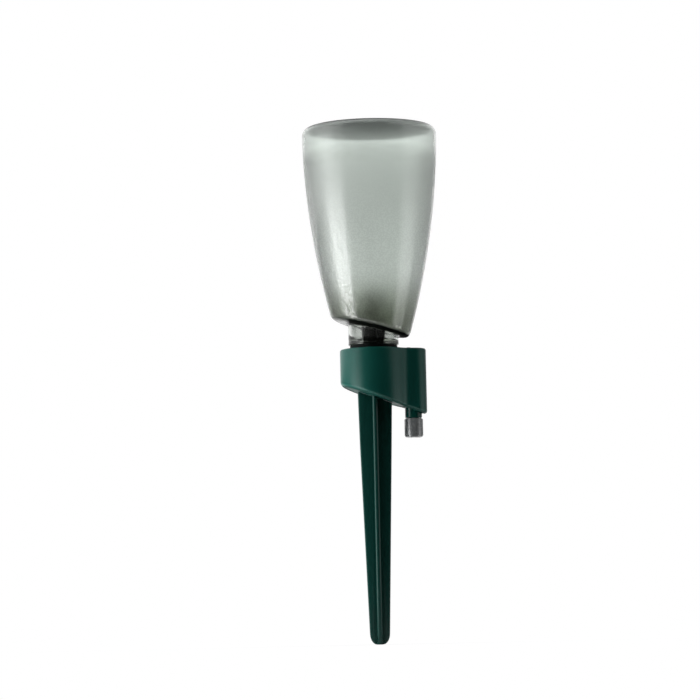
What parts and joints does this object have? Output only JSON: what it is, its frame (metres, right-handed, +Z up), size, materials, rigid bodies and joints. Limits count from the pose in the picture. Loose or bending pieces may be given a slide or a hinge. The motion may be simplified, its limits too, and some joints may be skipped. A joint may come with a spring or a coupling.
{
  "type": "drip watering spike",
  "caption": "Plant watering spike: a frosted reservoir bottle screwed into a dark green holder on a ground spike, with a ribbed regulator knob that sets the drip.",
  "frame": {"origin": "on the spike's axis at the soil line, where the spike enters the soil", "axes": "+Z up along the spike and the bottle, +X toward the outlet tail with the regulator knob"},
  "size_m": [0.0752, 0.0752, 0.2896],
  "materials": {
    "frosted_plastic": "frosted, translucent",
    "green_plastic": "satin moulded",
    "black_rubber": "matte",
    "strainer_plastic": "matte",
    "seat_rubber": "soft",
    "needle_plastic": "smooth",
    "grey_plastic": "ribbed"
  },
  "bodies": {
    "holder": {"holder_shell": "green_plastic", "base_cover": "green_plastic", "cover_gasket": "black_rubber", "ground_spike": "green_plastic", "inlet_strainer": "strainer_plastic", "air_valve": "black_rubber", "outlet_nozzle": "green_plastic", "nozzle_o_ring": "black_rubber", "valve_seat": "seat_rubber"},
    "seal": {"neck_seal_ring": "black_rubber"},
    "reservoir": {"reservoir_bottle": "frosted_plastic"},
    "needle": {"regulator_needle": "needle_plastic"},
    "knob": {"regulator_knob": "grey_plastic"}
  },
  "joints": [
    {"name": "reservoir_lift", "type": "slide", "parent": "holder", "child": "seal", "axis": [0, 0, 1], "range_m": [0, 0.008]},
    {"name": "reservoir_turn", "type": "hinge", "parent": "seal", "child": "reservoir", "pos_m": [0, 0, 0.06], "axis": [0, 0, 1], "range_deg": [0, 360]},
    {"name": "needle_travel", "type": "slide", "parent": "holder", "child": "needle", "axis": [0, 0, -1], "range_m": [0, 0.0015]},
    {"name": "knob_turn", "type": "hinge", "parent": "needle", "child": "knob", "pos_m": [0.02135, 0, 0.014], "axis": [0, 0, -1], "range_deg": [0, 360]}
  ],
  "couplings": [
    {"joint": "reservoir_turn", "follows": "reservoir_lift", "rad_per_m": 785.4},
    {"joint": "knob_turn", "follows": "needle_travel", "rad_per_m": 4188.8}
  ]
}
